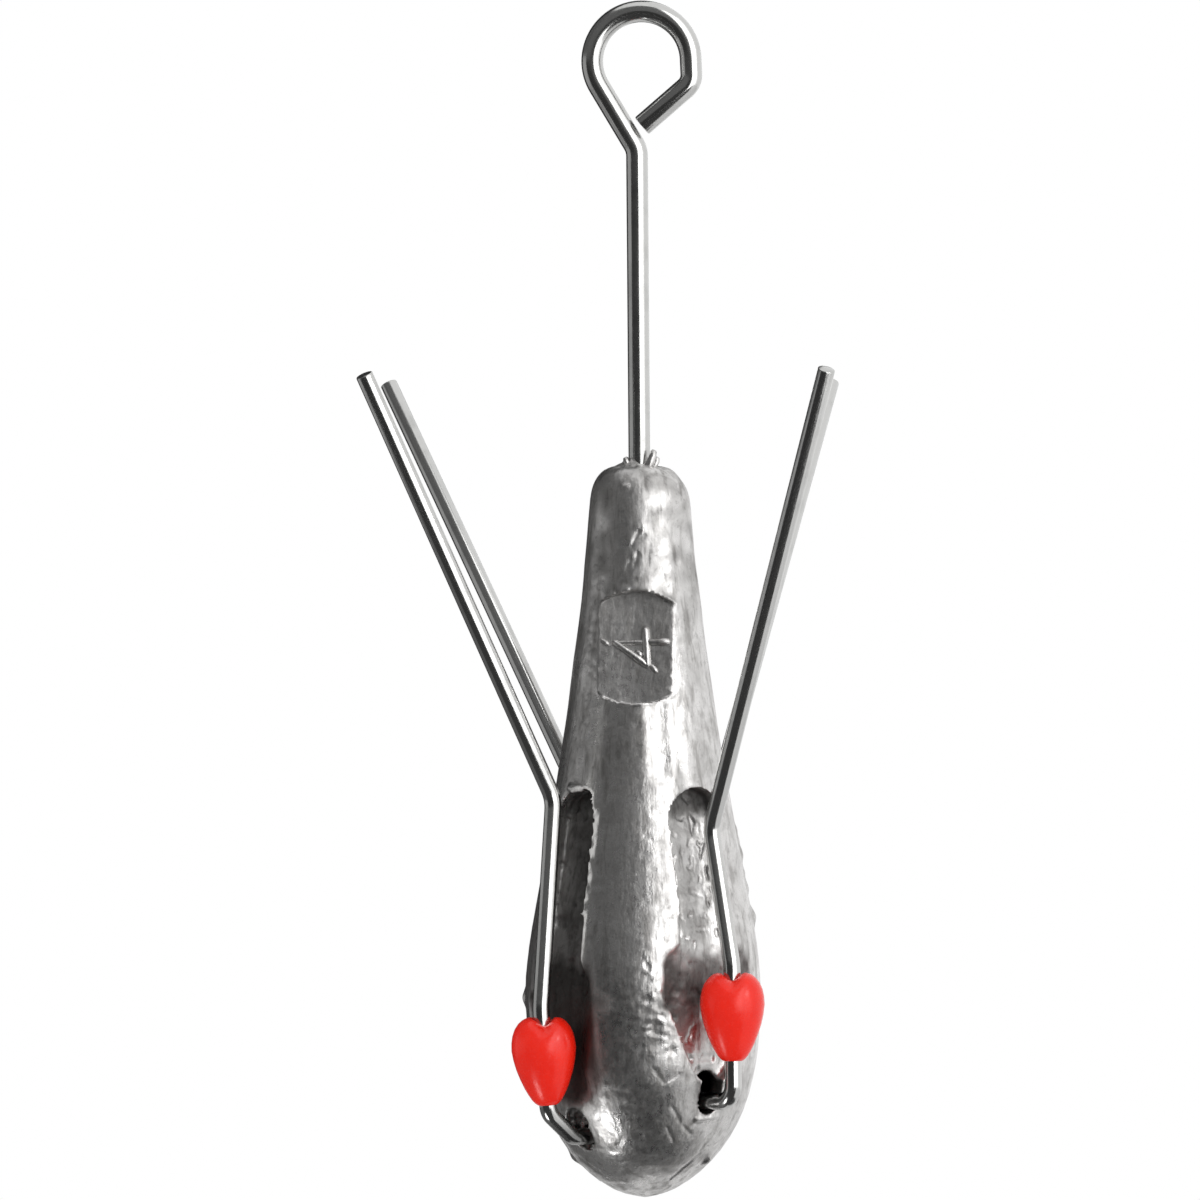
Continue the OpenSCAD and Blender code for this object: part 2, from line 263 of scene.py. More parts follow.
def redPlastic():
    look = beadLook
    paint = Paint("redPlastic")
    cloud = paint.noise(look["cloud"], detail=3)
    skin = paint.noise(look["skin"], detail=3)
    colour = paint.blend(paint.spread(cloud, 0, 1), look["red"], look["deep"])
    rough = paint.spread(skin, *look["roughness"])
    waves = paint.bump(cloud, look["cloudHeight"])
    skinned = paint.bump(skin, look["skinHeight"], under=waves)
    return paint.shade(Base_Color=colour, Roughness=rough, Specular_IOR_Level=look["shine"], Normal=skinned)


leadMaterial = castLead()
wireMaterial = drawnSteel()
beadMaterial = redPlastic()
print("materials made")


leadSkin = {
    "voxel": 0.16 * mm,
    "triangles": 190000,
    # uneven all over: size and height of the waves, the lumps and the pits, which come in patches
    "waveSize": 5.5 * mm, "waveHeight": 0.1 * mm,
    "lumpSize": 1.6 * mm, "lumpHeight": 0.014 * mm,
    "pitSize": 0.8 * mm, "pitDepth": 0.03 * mm, "pitEdge": (0.15, 0.6),
    "pitPatch": 5 * mm, "patchEdge": (0.0, 0.35),
    # the grooves' floors are rougher, from a depth to another
    "grooveRough": 6, "grooveDepths": (0.3 * mm, 0.7 * mm),
    "crumbSize": 0.5 * mm, "crumbHeight": 0.055 * mm,
    # crumbly patches outside the grooves: azimuth, height above the nose, reach of both, how much
    "crumbly": [(13, 17.5, 10, 4.5, 1.7), (-40, 49, 16, 8, 0.9), (40, 50, 18, 9, 0.6), (5, 58, 14, 4, 0.5)],
    # raised edges, ragged along their length
    "lipHeight": 0.3 * mm, "lipSharpness": (0.1, 0.32),
    "lipRagged": 0.9 * mm, "lipLevel": 0.3, "lipSwing": 1.1, "lipLeast": -0.2,
    # the skin stays smooth near the beads, between two heights, with this share of the waves
    "beadClear": (3.0 * mm, 4.2 * mm), "beadHeights": (8 * mm, 24 * mm), "beadWaves": 0.3,
    # how often the pockets are smoothed, between two heights
    "softened": [(12, 10.6, 23), (50, 17.6, 25)], "pocketReach": 7 * mm,
    "flashHeight": 0.42 * mm, "flashWidth": 0.25 * mm, "flashFade": 3,
    "flashRagged": 1.4 * mm, "flashLevel": 0.3,
    "holeReach": 1.0 * mm, "holeEase": 0.06 * mm,
    "stemReach": 1.2 * mm,
    # lead that climbed the stem on the left, and the rounder right shoulder
    "climbHeight": 0.8 * mm, "climbStart": 1.0 * mm, "climbReach": 1.3 * mm, "climbEnd": 2.4 * mm,
    "climbDepth": 1.5 * mm, "climbCurve": 1.5, "climbRight": 0.25, "climbTurn": (-0.2, 0.6),
    "climbRagged": 0.5 * mm, "climbLevel": 0.8, "climbSwing": 0.5,
    "shoulderDrop": 0.22 * mm, "shoulderRise": 63.0 * mm, "shoulderReach": 1.1 * mm,
    "noseKept": 1.5 * mm,          # the nose keeps its length
    # dents: azimuth, height above the nose, radius and depth
    "dents": [
        (48, 55.5, 0.7, 0.1), (60, 49.0, 0.9, 0.1), (52, 43.0, 1.0, 0.1), (-30, 44, 1.4, 0.08),
        (-36, 52, 1.0, 0.08), (20, 13.2, 0.5, 0.08), (12, 15.0, 0.6, 0.08), (17, 17.0, 0.5, 0.08)],
    # scratches and creases: azimuth and height of each end, half width and depth, below zero for a ridge
    "scratches": [
        (-3, 56.9, 4, 58.1, 0.3, 0.09), (5, 57.4, 10, 57.8, 0.4, 0.06), (-8, 54.9, -4, 55.7, 0.28, 0.07),
        (-1, 55.2, 3, 56.2, 0.35, 0.08), (-10, 53.6, 0, 54.0, 0.35, 0.07), (13, 55.4, 16, 57.0, 0.35, 0.05),
        (20, 37.2, 19, 44.0, 1.5, 0.22), (22, 8.2, 27, 7.0, 0.24, 0.05), (19, 6.6, 25, 5.3, 0.22, 0.05),
        (30, 6.6, 36, 5.9, 0.24, 0.05), (38, 1.8, 58, 4.6, 0.25, 0.1), (13, 11.6, 17, 10.4, 0.22, 0.045),
        (24, 11.2, 19, 10.6, 0.22, 0.05), (-58, 3.6, -46, 2.6, 0.3, 0.1), (60, 62.0, 70, 61.0, 0.4, 0.1),
        (-50, 35.9, -41, 35.8, 0.45, -0.28), (-39, 35.6, -31, 35.0, 0.4, -0.28),
        (-30, 34.7, -26.5, 33.4, 0.32, -0.2), (-26, 32.4, -25, 31.2, 0.3, -0.18),
        (38, 7.2, 53, 7.3, 0.4, -0.2), (-11, 52.9, -7, 53.1, 0.32, -0.15),
        (-21, 52.3, -18, 52.4, 0.3, -0.13), (-14, 62.0, -9, 62.1, 0.32, -0.12)],
    "scratchInside": 2 * mm,       # nearer the axis than this, there are none
    "scratchBeyond": 1,            # how far they reach past their ends in height
    # lips that lead spilled over: azimuth and half width of the hollow, how far, lowest and highest point
    "spills": [(-40, 3.1, 1.15, 19.5, 36), (45, 3.1, 0.9, 20.5, 35), (-40, 5.3, 1.9, 9.5, 18.8)],
    "spillStart": 0.4, "spillFade": 5, "spillInside": 3 * mm,
    "spillFoot": (-1, 2), "spillTop": (-1.5, 0.5),
    # flash left by the mould: azimuth, lowest and highest point above the nose
    "flashes": [(95, 22.5, 33), (-88, 15.8, 19.6), (70, 2.2, 4.6), (-84, 2.6, 4.6)],
}


beadJoints = [joint for name, joint in joints.items() if name.endswith("_spin")]
pinJoints = [joints["lower_grip_swing"], joints["upper_grip_swing"]]


# how far a point lies from the nearest of some joints' axes
def fromJoints(point, some):
    distances = []
    for joint in some:
        away = point - Vector(joint["pos_m"])
        line = Vector(joint["axis"])
        distances.append((away - line * away.dot(line)).length)
    return min(distances)


# the same for all points at once
def allFromJoints(co, some):
    distances = []
    for joint in some:
        away = co - np.array(joint["pos_m"])
        line = np.array(joint["axis"])
        distances.append(np.linalg.norm(away - np.outer(away @ line, line), axis=1))
    return np.min(distances, axis=0)


def readPlaces(mesh):
    co = np.empty(len(mesh.vertices) * 3)
    mesh.vertices.foreach_get("co", co)
    return co.reshape(-1, 3)


# how sharply the surface turns at each point: positive on an edge, negative in a hollow
def edgeSharpness(mesh, rounds):
    count = len(mesh.vertices)
    co = readPlaces(mesh)
    normal = np.empty(count * 3)
    ends = np.empty(len(mesh.edges) * 2, dtype=int)
    mesh.vertices.foreach_get("normal", normal)
    mesh.edges.foreach_get("vertices", ends)
    normal, ends = normal.reshape(-1, 3), ends.reshape(-1, 2)
    number = np.bincount(ends.ravel(), minlength=count).clip(1)
    along = co[ends[:, 1]] - co[ends[:, 0]]
    along /= np.linalg.norm(along, axis=1)[:, None].clip(1e-12)
    sharp = np.zeros(count)
    np.add.at(sharp, ends[:, 0], -(normal[ends[:, 0]] * along).sum(1))
    np.add.at(sharp, ends[:, 1], (normal[ends[:, 1]] * along).sum(1))
    sharp /= number
    for _ in range(rounds):
        total = np.zeros(count)
        np.add.at(total, ends[:, 0], sharp[ends[:, 1]])
        np.add.at(total, ends[:, 1], sharp[ends[:, 0]])
        sharp = 0.5 * sharp + 0.5 * total / number
    return sharp


# the largest radius at each height, so that grooves and holes can be told from the skin
def outerRadius(co):
    step = 0.5 * mm
    level = ((co[:, 2] - noseZ) / step).astype(int).clip(0)
    radius = np.hypot(co[:, 0] - axisX, co[:, 1])
    widest = np.zeros(level.max() + 1)
    np.maximum.at(widest, level, radius)
    return np.interp(co[:, 2] - noseZ, (np.arange(len(widest)) + 0.5) * step, widest)


pad = {
    "drop": 15.94 * mm,            # the pad's middle below the body's top
    "halfWidth": 3.35 * mm,
    "halfHeight": 4.9 * mm,
    "archRadius": 5.9 * mm,
    "clear": 3.6 * mm,             # where the pad is bare of the numeral
    "depth": 0.6 * mm,             # how far the skin may lie from the flat
    "sink": 0.07 * mm, "sinkEdge": 0.15 * mm, "sinkWidth": 3.4 * mm,
    # the flat isn't quite flat: size and height of its waves
    "waves": [(1.3 * mm, 0.03 * mm), (0.5 * mm, 0.012 * mm)],
    "lipHeight": 0.16 * mm, "lipWidth": 0.35 * mm, "lipHeights": (3.2 * mm, 4.2 * mm),
    "lipRagged": 1.2 * mm, "lipLevel": 0.15, "lipSwing": 2.4,
}


# the pad's flat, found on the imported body
def findPad(tree):
    hits = []
    for side in (-1, 1):
        start = Vector((axisX, -1, topZ - pad["drop"] + side * pad["clear"]))
        hits.append(tree.ray_cast(start, Vector((0, 1, 0)))[0])
    pad["middle"] = (hits[0] + hits[1]) / 2
    pad["up"] = (hits[1] - hits[0]).normalized()
    pad["out"] = Vector((1, 0, 0)).cross(pad["up"])


# how far a point lies outside the pad's outline, and above its flat
def fromPad(point):
    away = point - pad["middle"]
    across, along = abs(away.x), away.dot(pad["up"])
    arch = pad["archRadius"] - pad["halfHeight"]
    edge = max(across - pad["halfWidth"], math.hypot(across, abs(along) + arch) - pad["archRadius"])
    return edge, away.dot(pad["out"])


# how far apart two azimuths lie on the skin, below zero to the left
def alongSkin(azimuth, fromAzimuth, radius):
    return math.radians((azimuth - fromAzimuth + 180) % 360 - 180) * radius


# how far a point of the skin lies from a scratch, on the skin rolled out flat
def fromScratch(azimuth, rise, radius, scratch):
    start = Vector((0, scratch[1] * mm))
    end = Vector((math.radians(scratch[2] - scratch[0]) * radius, scratch[3] * mm))
    spot = Vector((alongSkin(azimuth, scratch[0], radius), rise))
    line = end - start
    share = min(max((spot - start).dot(line) / line.length_squared, 0), 1)
    return (spot - start - line * share).length


# the lips that lead spilled over hang into their grooves: the skin is turned about the axis
def spillLips(place):
    rise = (place.z - noseZ) / mm
    away = Vector((place.x - axisX, place.y, 0))
    radius = away.length
    azimuth = math.degrees(math.atan2(away.x, -away.y))
    start, fade = leadSkin["spillStart"], leadSkin["spillFade"]
    foot, top = leadSkin["spillFoot"], leadSkin["spillTop"]
    turn = 0
    for hollow, lip, reach, low, high in leadSkin["spills"]:
        beside = alongSkin(azimuth, hollow, radius) / mm
        if radius > leadSkin["spillInside"] and start < beside < lip + fade:
            amount = ramp(beside, start, lip) if beside < lip else 1 - ramp(beside, lip, lip + fade)
            amount *= ramp(rise, low + foot[0], low + foot[1])
            amount *= 1 - ramp(rise, high + top[0], high + top[1])
            turn -= reach * amount * mm / radius
    if turn:
        away.rotate(Matrix.Rotation(turn, 3, "Z"))
        place = Vector((axisX + away.x, away.y, place.z))
    return place


def dentDepth(azimuth, rise, radius):
    depth = 0
    for dentAzimuth, dentRise, dentRadius, deep in leadSkin["dents"]:
        turn = alongSkin(azimuth, dentAzimuth, radius)
        away = math.hypot(turn, rise - dentRise * mm) / (dentRadius * mm)
        if away < 1:
            depth += deep * mm * ramp(1 - away, 0, 1)
    return depth


def scratchDepth(azimuth, rise, radius):
    depth = 0
    if radius <= leadSkin["scratchInside"]:
        return depth
    beyond = leadSkin["scratchBeyond"]
    for scratch in leadSkin["scratches"]:
        low, high = sorted((scratch[1], scratch[3]))
        if low - beyond < rise / mm < high + beyond:
            away = fromScratch(azimuth, rise, radius, scratch) / (scratch[4] * mm)
            if away < 1:
                depth += scratch[5] * mm * ramp(1 - away, 0, 1)
    return depth


def flashHeight(azimuth, rise, radius):
    skin = leadSkin
    height = 0
    for flashAzimuth, low, high in skin["flashes"]:
        turn = alongSkin(azimuth, flashAzimuth, radius)
        if abs(turn) < skin["flashFade"] * skin["flashWidth"] and low * mm < rise < high * mm:
            ends = ramp(rise, low * mm, low * mm + mm) * ramp(-rise, -high * mm, mm - high * mm)
            torn = noise.noise(Vector((flashAzimuth, 0, rise / skin["flashRagged"]))) + skin["flashLevel"]
            torn = max(torn, 0)
            height += skin["flashHeight"] * ends * torn * math.exp(-(turn / skin["flashWidth"]) ** 2)
    return height


# waves of one size, shifted so that no two kinds run together
def wavesAt(point, size, shift=(0, 0, 0)):
    return noise.noise(point / size + Vector(shift))


# how far the cast skin stands out at a point
def castSurface(point, sharp, outer):
    skin = leadSkin
    out = Vector((point.x - axisX, point.y, 0))
    radius = out.length
    azimuth = math.degrees(math.atan2(out.x, -out.y))
    rise = point.z - noseZ
    if fromJoints(point, pinJoints) < skin["holeReach"]:
        return skin["holeEase"]
    if radius < skin["stemReach"]:
        return 0.0
    low, high = skin["beadHeights"]
    free = ramp(fromJoints(point, beadJoints), *skin["beadClear"]) if low < rise < high else 1.0
    rough = 1 + (skin["grooveRough"] - 1) * ramp(outer - radius, *skin["grooveDepths"]) * free
    calm = skin["beadWaves"]
    height = skin["waveHeight"] * wavesAt(point, skin["waveSize"]) * (calm + (1 - calm) * free)
    height += skin["lumpHeight"] * rough * wavesAt(point, skin["lumpSize"], (7, 3, 1))
    crumbly = (rough - 1) / skin["grooveRough"]
    for atAzimuth, atRise, wide, tall, much in skin["crumbly"]:
        away = ((azimuth - atAzimuth) / wide) ** 2 + ((rise / mm - atRise) / tall) ** 2
        crumbly = max(crumbly, much * math.exp(-away))
    height += skin["crumbHeight"] * crumbly * wavesAt(point, skin["crumbSize"], (1, 4, 8))
    patch = ramp(wavesAt(point, skin["pitPatch"], (5, 5, 5)), *skin["patchEdge"])
    pit = ramp(wavesAt(point, skin["pitSize"], (2, 9, 4)), *skin["pitEdge"])
    height -= skin["pitDepth"] * (patch + rough - 1) * pit
    ragged = skin["lipLevel"] + skin["lipSwing"] * max(wavesAt(point, skin["lipRagged"]), skin["lipLeast"])
    height += skin["lipHeight"] * ramp(sharp, *skin["lipSharpness"]) * ragged * free
    height -= dentDepth(azimuth, rise, radius)
    height -= scratchDepth(azimuth, rise, radius)
    height += flashHeight(azimuth, rise, radius)
    rightward = max(math.sin(math.radians(azimuth)), 0)
    fromShoulder = (rise - skin["shoulderRise"]) / skin["shoulderReach"]
    height -= skin["shoulderDrop"] * rightward * math.exp(-fromShoulder ** 2)
    if rise < skin["noseKept"]:
        height = min(height, 0)
    return height


# how far lead climbed the stem at a point of the body's top
def climbedHeight(point):
    skin = leadSkin
    radius = math.hypot(point.x - axisX, point.y)
    if point.z <= topZ - skin["climbDepth"] or radius >= skin["climbEnd"]:
        return 0
    right = skin["climbRight"]
    leftward = right + (1 - right) * ramp((axisX - point.x) / max(radius, 0.1 * mm), *skin["climbTurn"])
    climb = min(1 - (radius - skin["climbStart"]) / skin["climbReach"], 1)
    ragged = skin["climbLevel"] + skin["climbSwing"] * wavesAt(point, skin["climbRagged"])
    return skin["climbHeight"] * leftward * ragged * max(climb, 0) ** skin["climbCurve"]


# where a point of the body goes: the pad is levelled, the rest gets its cast skin
def castPlace(point, normal, sharp, outer):
    edge, above = fromPad(point)
    if abs(above) < pad["depth"] and edge < 0 and point.y < 0:
        rough = sum(height * wavesAt(point, size) for size, height in pad["waves"])
        across = abs(point.x - pad["middle"].x)
        sink = pad["sink"] * ramp(-edge, 0, pad["sinkEdge"]) * (1 - ramp(across, 0, pad["sinkWidth"]))
        return point - pad["out"] * (above + sink + rough)
    place = point + normal * castSurface(point, sharp, outer)
    if 0 <= edge < pad["lipWidth"] and abs(above) < mm and point.y < 0:
        ragged = max(pad["lipLevel"] + wavesAt(point, pad["lipRagged"]) * pad["lipSwing"], 0)
        ends = ramp(abs(point.z - pad["middle"].z), *pad["lipHeights"])
        place += normal * pad["lipHeight"] * ends * ragged * math.sin(math.pi * edge / pad["lipWidth"])
    place.z += climbedHeight(point)
    return spillLips(place)


def smoothVerts(bm, verts, rounds):
    for _ in range(rounds):
        bmesh.ops.smooth_vert(bm, verts=verts, factor=0.5, use_axis_x=True, use_axis_y=True, use_axis_z=True)


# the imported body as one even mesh, its pockets softened
def remeshBody(obj):
    bm = bmesh.new()
    bm.from_mesh(obj.data)
    bmesh.ops.remove_doubles(bm, verts=bm.verts, dist=0.001 * mm)
    findPad(BVHTree.FromBMesh(bm))
    bm.to_mesh(obj.data)
    bm.free()
    remesh = obj.modifiers.new("voxels", "REMESH")
    remesh.mode = "VOXEL"
    remesh.voxel_size = leadSkin["voxel"]
    applyModifiers(obj)
    co = readPlaces(obj.data)
    rise = co[:, 2] - noseZ
    pocket = allFromJoints(co, beadJoints) < leadSkin["pocketReach"]
    bm = bmesh.new()
    bm.from_mesh(obj.data)
    bm.verts.ensure_lookup_table()
    smoothVerts(bm, bm.verts, rounds=1)
    for rounds, low, high in leadSkin["softened"]:
        soft = pocket & (rise > low * mm) & (rise < high * mm)
        smoothVerts(bm, [bm.verts[index] for index in np.flatnonzero(soft)], rounds)
    bm.normal_update()
    bm.to_mesh(obj.data)
    bm.free()


# every point goes to its place, then the mesh is thinned
def roughenBody(obj):
    mesh = obj.data
    sharp = edgeSharpness(mesh, rounds=2)
    outer = outerRadius(readPlaces(mesh))
    moved = []
    for vertex in mesh.vertices:
        moved.append(castPlace(vertex.co, vertex.normal, sharp[vertex.index], outer[vertex.index]))
    for vertex, place in zip(mesh.vertices, moved):
        vertex.co = place
    thin = obj.modifiers.new("thin", "DECIMATE")
    thin.ratio = min(leadSkin["triangles"] / (2 * len(mesh.polygons)), 1)
    applyModifiers(obj)


# where the skin gets painted shade, is torn and pale with a painted highlight, or is black with painted shade
# in the holes. A pair is where a shade starts and how far on it is full, below zero where it counts down.
# Heights are above the nose, and depths are below the skin around
leadShade = {
    "wanderSize": 1.3 * mm, "wander": 1.2 * mm,        # how the soft edges wander
    "tornSize": 0.7 * mm,
    "paleEdgeSharp": (0.08, 0.2), "hollow": (0.08, 0.3), "hollowMost": 0.6,
    # painted shade in the pockets and on their lower rims
    "pocketReach": (6.6 * mm, -0.8 * mm), "pocketDepth": (0.1 * mm, 0.3 * mm),
    "pocketLow": (7.5 * mm, 1 * mm), "pocketHigh": (23 * mm, -3 * mm), "pocketMost": 0.93,
    "rimReach": (5.1 * mm, -0.8 * mm), "rimLow": (8 * mm, 3.5 * mm),
    # the front right pocket faces the light, so only its top and its right corner are dark
    "litReach": 7.5 * mm, "litLow": (15.5 * mm, 2.5 * mm), "litHigh": (22.5 * mm, -2.5 * mm),
    "litLeast": 0.05, "litMore": 0.7,
    "cornerWay": 135, "cornerAside": (-0.8 * mm, -2.5 * mm),
    "cornerHigh": (22.5 * mm, -1.5 * mm), "cornerLow": (14 * mm, 3 * mm), "cornerMost": 0.85,
    # painted shade on the grooves' floors, more so on the left, and under the arches at their tops
    "grooveDepth": (0.9 * mm, 1.2 * mm), "grooveLow": 17 * mm, "grooveLeft": (0, -3 * mm),
    "grooveLeast": 0.15, "grooveMore": 0.6,
    "archLow": (32.5 * mm, 1.5 * mm), "archHigh": 36.6 * mm,
    "archDepth": (0.7 * mm, 0.5 * mm), "archMost": 0.7,
    # painted shade on the top, mottled
    "topLow": (48 * mm, 5 * mm), "topLevel": 0.16, "topMottle": 0.3, "topMost": 0.5,
    # pale torn lead with a painted highlight on the edge of the left groove's arch, between two azimuths,
    # and on its right lip
    "tornSharp": (0.01, 0.07), "tornAzimuths": (-47, -10),
    "tornLow": (32 * mm, 2 * mm), "tornHigh": (37 * mm, -1 * mm),
    "ridgeAzimuth": -40, "ridgeRagged": 0.25 * mm, "ridgeLeft": (1.8 * mm, 0.15 * mm),
    "ridgeRight": (2.65 * mm, -0.25 * mm), "ridgeLow": (19.5 * mm, 2.5 * mm), "ridgeHigh": 34 * mm,
    "ridgeDepth": 0.6 * mm, "tornLevel": 0.75, "tornMottle": 1.4, "tornMost": 0.9,
    # black painted shade in the cross holes, the upper of which opens wider
    "holeReaches": (1.1 * mm, 3.2 * mm), "holeDepth": (1.2 * mm, 0.6 * mm), "holeHigh": 12.5 * mm,
}


# from 0 where values start to 1 after a reach
def slope(values, start, reach):
    return np.clip((values - start) / reach, 0, 1)


class CastPoints:
    # what is measured at each point of the cast skin
    def __init__(self, mesh):
        self.co = readPlaces(mesh)
        self.across = self.co[:, 0] - axisX
        self.radius = np.hypot(self.across, self.co[:, 1])
        self.rise = self.co[:, 2] - noseZ
        self.depth = outerRadius(self.co) - self.radius
        self.azimuth = np.degrees(np.arctan2(self.across, -self.co[:, 1]))
        self.wander = self.waves(leadShade["wanderSize"]) * leadShade["wander"]
        self.torn = self.waves(leadShade["tornSize"])

    def waves(self, size):
        return np.array([wavesAt(Vector(place), size) for place in self.co])


def pocketShade(skin):
    shade = leadShade
    toBead = allFromJoints(skin.co, beadJoints)
    pocket = slope(toBead, *shade["pocketReach"]) * slope(skin.rise, *shade["pocketLow"])
    pocket *= slope(skin.depth, *shade["pocketDepth"])
    rim = slope(toBead, *shade["rimReach"]) * slope(skin.rise + skin.wander, *shade["rimLow"])
    lit = shade["litLeast"] + shade["litMore"] * slope(skin.rise + skin.wander, *shade["litLow"])
    lit *= slope(skin.rise - skin.wander, *shade["litHigh"])
    aside = (skin.co - [axisX, 0, 0]) @ np.array(bearing(shade["cornerWay"]))
    corner = slope(skin.rise, *shade["cornerHigh"]) * slope(skin.rise, *shade["cornerLow"])
    corner *= slope(aside - skin.wander, *shade["cornerAside"])
    lit = np.maximum(lit, shade["cornerMost"] * corner)
    facing = allFromJoints(skin.co, [joints["bead_fr_spin"]]) < shade["litReach"]
    dark = shade["pocketMost"] * slope(skin.rise - skin.wander, *shade["pocketHigh"])
    return np.maximum(pocket, rim) * np.where(facing, lit, dark)


def grooveShade(skin):
    shade = leadShade
    low = slope(skin.depth, *shade["grooveDepth"]) * (skin.rise > shade["grooveLow"])
    return low * (shade["grooveLeast"] + shade["grooveMore"] * slope(skin.across, *shade["grooveLeft"]))


def archShade(skin):
    shade = leadShade
    arch = shade["archMost"] * slope(skin.rise, *shade["archLow"]) * (skin.rise < shade["archHigh"])
    return arch * slope(skin.depth, *shade["archDepth"])


def topShade(skin):
    shade = leadShade
    mottle = np.clip(shade["topLevel"] + shade["topMottle"] * skin.wander / mm, 0, shade["topMost"])
    return slope(skin.rise, *shade["topLow"]) * mottle


# pale torn lead and a painted highlight on the left groove's arch edge and right lip
def tornAndLitEdges(mesh, skin):
    shade = leadShade
    left, right = shade["tornAzimuths"]
    arch = slope(edgeSharpness(mesh, rounds=6), *shade["tornSharp"])
    arch *= (skin.azimuth > left) * (skin.azimuth < right)
    arch *= slope(skin.rise, *shade["tornLow"]) * slope(skin.rise, *shade["tornHigh"])
    beside = np.radians(skin.azimuth - shade["ridgeAzimuth"]) * skin.radius + shade["ridgeRagged"] * skin.torn
    ridge = slope(beside, *shade["ridgeLeft"]) * slope(beside, *shade["ridgeRight"])
    ridge *= slope(skin.rise, *shade["ridgeLow"]) * (skin.rise < shade["ridgeHigh"])
    ridge *= skin.depth < shade["ridgeDepth"]
    mottle = np.clip(shade["tornLevel"] + shade["tornMottle"] * skin.torn, 0, shade["tornMost"])
    return np.maximum(arch, ridge) * mottle


# black painted shade deep in the cross holes
def holeShade(skin):
    shade = leadShade
    near = np.zeros(len(skin.co), dtype=bool)
    for joint, reach in zip(pinJoints, shade["holeReaches"]):
        near |= allFromJoints(skin.co, [joint]) < reach
    return slope(skin.depth, *shade["holeDepth"]) * near * (skin.rise < shade["holeHigh"])


def addAttribute(mesh, name, values):
    mesh.attributes.new(name, "FLOAT", "POINT").data.foreach_set("value", values)


# what the lead's material reads at each point
def markBody(mesh):
    sharp = edgeSharpness(mesh, rounds=3)
    skin = CastPoints(mesh)
    shaded = np.maximum.reduce([pocketShade(skin), grooveShade(skin), archShade(skin), topShade(skin)])
    # sharp edges paler
    addAttribute(mesh, "paleEdges", slope(sharp, *leadShade["paleEdgeSharp"]))
    # painted shade in hollows, from how the surface bends inwards
    addAttribute(mesh, "hollowShade", slope(-sharp, *leadShade["hollow"]).clip(0, leadShade["hollowMost"]))
    # painted shade in the pockets, grooves, arches and on the top
    addAttribute(mesh, "shaded", shaded)
    # pale torn lead with a painted highlight
    addAttribute(mesh, "rawAndLit", tornAndLitEdges(mesh, skin))
    # black painted shade in the cross holes
    addAttribute(mesh, "hole", holeShade(skin))


def castBody():
    obj = linkObject("leadBody", nodes["lead_body"].data.copy())
    remeshBody(obj)
    roughenBody(obj)
    markBody(obj.data)
    coat(obj.data, leadMaterial)
    print("lead body cast:", len(obj.data.polygons), "faces")
    finishPiece(obj, "weight", "lead", "lead_body")


castBody()


wireShape = {
    "bendStep": 6,                 # degrees between the points of a bend
    "roundness": 6,
    "rimAngle": 1,                 # radians, sharper is the edge of a cut end
    "rimShare": 0.06,              # how far that edge is broken, of the diameter
    "rimSegments": 2,
}


# a path with each corner turned by an arc, like wire bent round a pin
def bendPath(corners, radii):
    path = [corners[0]]
    for before, corner, after, radius in zip(corners, corners[1:], corners[2:], radii):
        back, ahead = (before - corner).normalized(), (after - corner).normalized()
        turn = math.pi - back.angle(ahead)
        reach = radius * math.tan(turn / 2)
        axis = back.cross(ahead).normalized()
        start = corner + back * reach
        centre = start + axis.cross(back) * radius
        count = max(int(math.degrees(turn) / wireShape["bendStep"]), 2)
        for index in range(count + 1):
            path.append(centre + Matrix.Rotation(-turn * index / count, 3, axis) @ (start - centre))
    return path + [corners[-1]]


def drawWire(name, path, diameter, material, widths=None):
    curve = bpy.data.curves.new(name, "CURVE")
    curve.dimensions = "3D"
    curve.bevel_depth = diameter / 2
    curve.bevel_resolution = wireShape["roundness"]
    curve.use_fill_caps = True
    spline = curve.splines.new("POLY")
    spline.points.add(len(path) - 1)
    for point, place, width in zip(spline.points, path, widths or [1] * len(path)):
        point.co = (*place, 1)
        point.radius = width
    obj = linkObject(name, curve)
    graph = bpy.context.evaluated_depsgraph_get()
    mesh = bpy.data.meshes.new_from_object(obj.evaluated_get(graph))
    bpy.data.objects.remove(obj)
    bm = bmesh.new()
    bm.from_mesh(mesh)
    bmesh.ops.remove_doubles(bm, verts=bm.verts, dist=0.001 * mm)
    rims = [edge for edge in bm.edges if edge.calc_face_angle(0) > wireShape["rimAngle"]]
    bmesh.ops.bevel(bm, geom=rims, offset=diameter * wireShape["rimShare"], affect="EDGES",
                    segments=wireShape["rimSegments"], profile=0.5, material=-1)
    bmesh.ops.recalc_face_normals(bm, faces=bm.faces)
    bm.to_mesh(mesh)
    bm.free()
    coat(mesh, material)
    return linkObject(name, mesh)


tailWire = {
    "diameter": 1.9 * mm,
    "eyeRadius": 4.32 * mm, "eyeSteps": 60,
    "cutEnd": (0, -5.67 * mm),     # across and up from the middle of the eye
    "corner": (4.4 * mm, -1.95 * mm),
    "cornerRadius": 1.5 * mm,
    "shankBend": (axisX, -7.75 * mm),
    "shankRadius": 2.0 * mm,
    "hookDrop": 34.64 * mm,
    "hookWidth": 4.0 * mm,
    "hookHeight": 5.0 * mm,
}


# where a line from a point touches a circle about the middle of the eye, as an angle
def tangentAngle(point, radius, side):
    return math.atan2(point[1], point[0]) + side * math.acos(radius / math.hypot(*point))


def upright(across, height):
    return Vector((across, 0, height))


